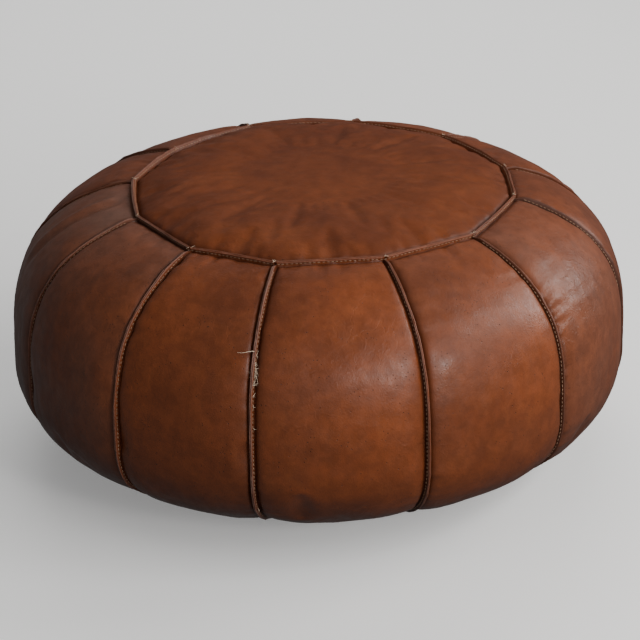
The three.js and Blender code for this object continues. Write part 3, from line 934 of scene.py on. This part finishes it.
def sewTopRim():
    close = np.append(np.arange(len(rimAngles)), 0)
    line = coverPoints[cloth["rows"], close]
    angle = np.append(rimAngles, rimAngles[0] + 2 * math.pi)
    normal = skinNormal(angle, outlineAngle(rimRadius(angle, shape["topCorner"]), shape["topRoundness"]))
    outer = finMiddle(topFin(line, normal, angle, 1), thread["height"])
    inner = finMiddle(topFin(line, normal, angle, -1), thread["height"])
    chance = np.random.RandomState(62)
    strands = []
    for seam in range(goreCount):
        i = seam * cloth["columns"]
        along = unit(line[i + 1] - line[i])
        root = 0.5 * (outer[i] + inner[i]) + normal[i] * 0.002
        strands += tuft(root, normal[i], along, 7, 0.0042, 0.00032, chance)
    return layStitches("rim_thread_top", bothSides(outer, inner), 520, strands)


def sewBaseRim():
    angle = np.linspace(0, 2 * math.pi, 400) + seamAngles[0]
    line = baseRim(angle)
    upper = finMiddle(baseFin(line, angle, 1), thread["height"])
    lower = finMiddle(baseFin(line, angle, -1), thread["height"])
    return layStitches("rim_thread_base", bothSides(upper, lower), 521)


# Two rows of stitches hold the zip's tape under each folded edge
zipSewing = dict(halfLength=0.156, rows=(-0.0105, -0.0085, 0.0085, 0.0105))


def sewZip():
    x = np.linspace(-zipSewing["halfLength"], zipSewing["halfLength"], 120)
    rows = []
    for y in zipSewing["rows"]:
        line = np.stack([x, 0 * x + y, baseHeight(x, 0 * x + y) - 0.0001], -1)
        rows.append((line, np.tile([0, 0, -1.0], (len(x), 1))))
    return layStitches("zip_thread", rows, 522)


# A small leather tab behind each end of the zip
tab = dict(start=0.1645, end=0.186, halfWidth=0.014, thick=0.0010, gap=0.0003)


def makeTab(side, name):
    x = side * np.linspace(tab["start"], tab["end"], 14)[:, None]
    y = side * np.linspace(-tab["halfWidth"], tab["halfWidth"], 16)[None, :]
    x, y = x + 0 * y, y + 0 * x
    z = baseHeight(x, y) + leather["thick"] + tab["gap"]
    obj = gridMesh(name, np.stack([x, y, z], -1))
    setAttributes(obj, wear=0, dirt=0, tone=0.2)
    solidify(obj, tab["thick"])
    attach(obj, "cover")
    return obj


# Filling: packed cotton waste that presses against the leather

filling = dict(inset=0.0050, rows=70, across=140, lump=0.0014, zipRoom=0.008)


def makeFilling():
    t = np.linspace(-math.pi / 2, math.pi / 2, filling["rows"] + 1)[1:-1][:, None]
    angle = np.linspace(0, 2 * math.pi, filling["across"], endpoint=False)[None, :]
    t, angle = t + 0 * angle, angle + 0 * t
    normal = skinNormal(angle, t)
    points = skin(angle, t) - normal * (filling["inset"] + shape["seamSink"])
    points = points + normal * (filling["lump"] * lumps(points, 0.02, 21))[..., None]
    zipRoom = filling["zipRoom"] * troughAt(points[..., 0], points[..., 1]) / shape["trough"]
    points[..., 2] = points[..., 2] + np.where(t < 0, zipRoom, 0)
    whole = points.reshape(-1, 3).tolist()
    faces = gridFaces(*points.shape[:2], wrap=True)
    low, high = len(whole), len(whole) + 1
    whole.append([0, 0, float(points[0, :, 2].mean())])
    whole.append([0, 0, float(points[-1, :, 2].mean())])
    last = (filling["rows"] - 2) * filling["across"]
    for i in range(filling["across"]):
        j = (i + 1) % filling["across"]
        faces.append([j, i, low])
        faces.append([last + i, last + j, high])
    obj = meshFrom("filling", whole, faces, 80)
    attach(obj, "cover")
    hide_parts("stuffing")
    return obj


gores = [makeGore(i) for i in range(goreCount)]
top = makeTop()
basePanels = [
    makeBase(-1, "leather_base_front", "base_panel_front"),
    makeBase(1, "leather_base_back", "base_panel_back"),
]
print("leather panels made")
tabs = [makeTab(1, "zip_tab_right"), makeTab(-1, "zip_tab_left")]
threads = [sewSideSeam(i) for i in range(goreCount)] + [sewTopRim(), sewBaseRim(), sewZip()]
print("seams sewn")
stuffing = makeFilling()
print("filling packed")

# Materials


# A new material, with short ways to add nodes to it
class Paint:
    def __init__(self, name):
        self.material = bpy.data.materials.new(name)
        self.material.use_nodes = True
        self.tree = self.material.node_tree
        self.shader = self.tree.nodes["Principled BSDF"].inputs
        self.place = self.node("TexCoord").outputs["Object"]

    # Links a socket, or sets it to a plain number, vector or colour
    def feed(self, socket, value):
        if isinstance(value, bpy.types.NodeSocket):
            self.tree.links.new(value, socket)
        elif socket.type == "RGBA":
            socket.default_value = (*value, 1)
        else:
            socket.default_value = value

    def node(self, kind, **values):
        made = self.tree.nodes.new("ShaderNode" + kind)
        for key, value in values.items():
            if key in made.inputs:
                self.feed(made.inputs[key], value)
            else:
                setattr(made, key, value)
        return made

    def fill(self, made, *values):
        for socket, value in zip(made.inputs, values):
            self.feed(socket, value)
        return made.outputs[0]

    def noise(self, scale, detail=4.0, rough=0.55, distort=0.0, stretch=None):
        source = self.place
        if stretch:
            turned = self.node("Mapping", Vector=source, Scale=stretch[0], Rotation=stretch[1])
            source = turned.outputs["Vector"]
        made = self.node("TexNoise", Vector=source, Scale=scale, Detail=detail, Roughness=rough)
        self.feed(made.inputs["Distortion"], distort)
        return made.outputs["Fac"]

    # The object's own place, pushed about by a noise
    def wavy(self, scale, amount):
        push = self.node("TexNoise", Vector=self.place, Scale=scale, Detail=3.0).outputs["Color"]
        return self.fill(self.node("VectorMath", operation="MULTIPLY_ADD"), push, (amount,) * 3, self.place)

    def attribute(self, name):
        return self.node("Attribute", attribute_name=name).outputs["Fac"]

    def spread(self, value, low, high, toLow=0.0, toHigh=1.0):
        return self.fill(self.node("MapRange"), value, low, high, toLow, toHigh)

    def combine(self, operation, a, b):
        return self.fill(self.node("Math", operation=operation), a, b)

    def times(self, a, b):
        return self.combine("MULTIPLY", a, b)

    def plus(self, a, b):
        return self.combine("ADD", a, b)

    def mix(self, share, a, b):
        made = self.node("Mix", data_type="RGBA")
        for socket, value in ((0, share), (6, a), (7, b)):
            self.feed(made.inputs[socket], value)
        return made.outputs[2]

    # Bumps laid one on another: height, strength and distance of each
    def bumps(self, *layers):
        normal = None
        for height, strength, distance in layers:
            made = self.node("Bump", Strength=abs(strength), Distance=distance, Height=height)
            made.invert = strength < 0
            if normal:
                self.feed(made.inputs["Normal"], normal)
            normal = made.outputs["Normal"]
        self.feed(self.shader["Normal"], normal)


def leatherMaterial(name, look):
    m = Paint(name)
    wear, dirt, tone, dull, crumple = map(m.attribute, ("wear", "dirt", "tone", "dull", "crumple"))

    # dye, patches, how each hide took them, and a painted greyish sheen
    colour = m.mix(m.spread(m.noise(7, 4, 0.55, 0.6), 0.34, 0.68), look["dark"], look["mid"])
    blotches = m.spread(m.noise(30, 5, 0.62, 0.8), 0.50, 0.72)
    colour = m.mix(m.times(blotches, look["blotch"]), colour, look["light"])
    # greyer colour on some gores: faded hide and a painted greyish sheen
    fadeAndSheenShare = m.times(dull, m.spread(m.noise(9, 4), 0.35, 0.65, 0.45, 1.25))
    colour = m.mix(fadeAndSheenShare, colour, look["dull"])
    shade = m.spread(m.noise(75, 4, 0.6, 0.3), 0.38, 0.62, 0.86, 1.08)
    shade = m.times(shade, m.spread(tone, 0.0, 1.0, 0.62, 1.3))
    colour = m.node("HueSaturation", Color=colour, Value=shade).outputs["Color"]

    # painted shade low down, darker towards the floor, and dirt with painted shade in the seams
    height = m.node("SeparateXYZ", Vector=m.place).outputs["Z"]
    # painted shade: the leather darkens towards the floor, where less light reaches
    low = m.spread(height, 0.02, 0.17, 1.0, 0.0)
    patchyLowShade = m.spread(m.noise(14, 5), 0.3, 0.6, 0.35 * look["lowShade"], 0.85 * look["lowShade"])
    colour = m.mix(m.times(low, patchyLowShade), colour, look["shadeAndGrime"])
    # dirt with painted shade in the seams, in the same dark colour
    colour = m.mix(m.times(dirt, 0.92), colour, look["shadeAndGrime"])

    # pinholes, fine cracks, and pale rubbed edges that also carry painted highlights
    pores = m.node("TexVoronoi", Vector=m.place, Scale=230.0).outputs["Distance"]
    pinholes = m.times(m.spread(pores, 0.10, 0.17, 1.0, 0.0), m.spread(m.noise(40, 2), 0.5, 0.6))
    colour = m.mix(m.times(pinholes, 0.8), colour, (0.006, 0.003, 0.002))
    cracks = m.node("TexVoronoi", Vector=m.wavy(26.0, 0.05), Scale=17.0, feature="DISTANCE_TO_EDGE")
    crack = m.spread(cracks.outputs["Distance"], 0.003, 0.012, 1.0, 0.0)
    crack = m.times(crack, m.spread(m.noise(11, 3), 0.54, 0.66, 0.0, 0.13))
    colour = m.mix(crack, colour, look["light"])
    paleEdgeAndHighlight = m.times(wear, m.spread(m.noise(120, 4), 0.30, 0.60, 0.35, 1.0))
    m.feed(m.shader["Base Color"], m.mix(paleEdgeAndHighlight, colour, look["edge"]))

    shine = m.spread(m.noise(24, 5, 0.6), 0.3, 0.7, look["rough"] - 0.07, look["rough"] + 0.11)
    brushed = ((1, 1, 0.35), (0.3, 0.2, 0.0))
    shine = m.plus(shine, m.spread(m.noise(110, 5, 0.65, 0.4, brushed), 0.35, 0.65, -0.07, 0.07))
    shine = m.plus(m.plus(shine, m.times(wear, 0.12)), m.times(dirt, 0.15))
    m.feed(m.shader["Roughness"], shine)
    m.feed(m.shader["Specular IOR Level"], 0.5)
    m.feed(m.shader["Coat Weight"], look["coat"])
    m.feed(m.shader["Coat Roughness"], 0.42)

    pebbles = m.node("TexVoronoi", Vector=m.wavy(180.0, 0.003), Scale=520.0, feature="SMOOTH_F1")
    m.feed(pebbles.inputs["Smoothness"], 0.4)
    folds = m.node(
        "TexNoise", Vector=m.place, Scale=95.0, Detail=4.0, Roughness=0.6, Distortion=1.2,
        noise_type="RIDGED_MULTIFRACTAL",
    )
    crinkle = m.times(folds.outputs["Fac"], m.spread(m.noise(6, 2), 0.45, 0.65, 0.25, 1.0))
    crinkle = m.times(crinkle, m.spread(crumple, 0.0, 1.0, 1.0, 3.4))
    crinkle = m.combine("SUBTRACT", crinkle, m.times(crack, 2.5))
    m.bumps(
        (crinkle, 0.55, 0.0007),
        (m.noise(260, 3, 0.6), 0.45, 0.0003),
        (pebbles.outputs["Distance"], 0.50, 0.0002),
        (pinholes, -0.6, 0.0004),
    )
    return m.material


sideLook = dict(
    dark=(0.130, 0.031, 0.009),
    mid=(0.215, 0.050, 0.012),
    light=(0.290, 0.078, 0.020),
    # dark colour of the painted shade low down, and of the dirt with painted shade in the seams
    shadeAndGrime=(0.036, 0.010, 0.004),
    # pale cut edges: rubbed leather, and a painted highlight where the light falls on them
    edge=(0.205, 0.105, 0.076),
    # colour of the faded hide and of the painted greyish sheen
    dull=(0.150, 0.068, 0.044),
    blotch=0.22,
    lowShade=1.0,  # how far painted shade darkens the leather towards the floor
    rough=0.42,
    coat=0.2,
)
topLook = dict(sideLook, dark=(0.120, 0.027, 0.007), mid=(0.180, 0.041, 0.008), rough=0.53, coat=0.1)
baseLook = dict(
    sideLook, dark=(0.090, 0.027, 0.010), mid=(0.165, 0.046, 0.016), lowShade=0.3, rough=0.58, coat=0.05
)


# Two colours in spots; loose is the colour where the loose attribute is set
def simpleMaterial(name, colour, other, rough, metallic, scale, bumpDistance, loose=None):
    m = Paint(name)
    spots = m.noise(scale, 5, 0.5)
    spotted = m.mix(spots, colour, other)
    if loose:
        spotted = m.mix(m.attribute("loose"), spotted, loose)
    m.feed(m.shader["Base Color"], spotted)
    m.feed(m.shader["Metallic"], metallic)
    m.feed(m.shader["Roughness"], m.spread(spots, 0.3, 0.7, rough - 0.08, rough + 0.1))
    m.bumps((spots, 0.5, bumpDistance))
    return m.material


def dress(objects, material):
    for obj in objects:
        obj.data.materials.clear()
        obj.data.materials.append(material)


dress(gores, leatherMaterial("waxed side leather", sideLook))
dress([top], leatherMaterial("waxed top leather", topLook))
dress(basePanels + tabs, leatherMaterial("base leather", baseLook))
bleached = (0.66, 0.52, 0.38)
waxed = simpleMaterial("waxed thread", (0.20, 0.11, 0.065), (0.40, 0.25, 0.16), 0.7, 0, 900, 0.0001, bleached)
dress(threads, waxed)
wadding = simpleMaterial("cotton wadding", (0.50, 0.45, 0.38), (0.68, 0.63, 0.55), 0.9, 0, 60, 0.003)
dress([stuffing], wadding)
brass = simpleMaterial("aged brass", (0.42, 0.28, 0.12), (0.28, 0.18, 0.08), 0.38, 1, 400, 0.00005)
tape = simpleMaterial("zip tape", (0.020, 0.014, 0.010), (0.040, 0.028, 0.020), 0.85, 0, 1500, 0.0002)
for piece in bpy.data.objects:
    if piece.name.startswith("zip_tape"):
        piece.material_slots[0].material = tape
    elif piece.name.startswith("zip_"):
        piece.material_slots[0].material = brass

# Floor, light and camera

bpy.ops.mesh.primitive_plane_add(size=40, location=(0, 0, -0.0004))
floor = bpy.context.active_object
floor.name = "floor"
floor.visible_diffuse = False  # the pale floor would throw light up under the leather
floor.visible_glossy = False
paper = Paint("pale floor")
paper.feed(paper.shader["Base Color"], (0.83, 0.82, 0.80))
paper.feed(paper.shader["Roughness"], 0.9)
paper.feed(paper.shader["Emission Color"], (1, 1, 1))  # a lit table top
paper.feed(paper.shader["Emission Strength"], 0.22)
floor.data.materials.append(paper.material)

world = bpy.context.scene.world or bpy.data.worlds.new("studio")
bpy.context.scene.world = world
world.use_nodes = True
world.node_tree.nodes["Background"].inputs["Color"].default_value = (0.95, 0.97, 1.0, 1)
world.node_tree.nodes["Background"].inputs["Strength"].default_value = 0.11


def softLight(name, azimuth, elevation, distance, size, power, colour=(1, 1, 1), shines=True):
    azimuth, elevation = math.radians(azimuth), math.radians(elevation)
    across = math.cos(elevation)
    place = Vector((math.sin(azimuth) * across, -math.cos(azimuth) * across, math.sin(elevation)))
    light = bpy.data.lights.new(name, "AREA")
    light.shape = "RECTANGLE"
    light.size, light.size_y = size
    light.energy = power
    light.color = colour
    obj = bpy.data.objects.new(name, light)
    bpy.context.collection.objects.link(obj)
    obj.location = place * distance + Vector((0, 0, 0.15))
    obj.rotation_euler = (-place).to_track_quat("-Z", "Y").to_euler()
    obj.visible_glossy = shines
    return obj


softLight("window right", 105, 28, 2.6, (1.0, 1.0), 22, (1, 0.98, 0.96))
softLight("window high right", 74, 40, 2.6, (0.5, 0.5), 6, (1, 0.98, 0.98))
softLight("window front", 31, 22, 3.0, (0.5, 0.5), 20, (1, 0.98, 0.97))
softLight("soft right", 55, 30, 2.8, (2.5, 2.0), 64, shines=False)
softLight("soft front", 8, 14, 2.8, (2.5, 1.5), 17, shines=False)
softLight("soft back", 180, 40, 2.8, (2.5, 2.0), 46, shines=False)
softLight("soft top", -10, 80, 2.6, (2.2, 2.2), 8, shines=False)

view = dict(elevation=24.06, distance=2.775, target=0.165, aim=0.1442, lens=132.9, roll=0.94)
angle = math.radians(view["elevation"])
cameraData = bpy.data.cameras.new("camera")
cameraData.lens = view["lens"]
cameraData.sensor_width = 36
camera = bpy.data.objects.new("camera", cameraData)
bpy.context.collection.objects.link(camera)
back, up = math.cos(angle) * view["distance"], math.sin(angle) * view["distance"]
camera.location = (0, -back, view["target"] + up)
look = Vector((0, 0, view["aim"])) - camera.location
turned = look.to_track_quat("-Z", "Y").to_matrix() @ Matrix.Rotation(math.radians(-view["roll"]), 3, "Z")
camera.rotation_euler = turned.to_euler()
bpy.context.scene.camera = camera

print("scene ready")
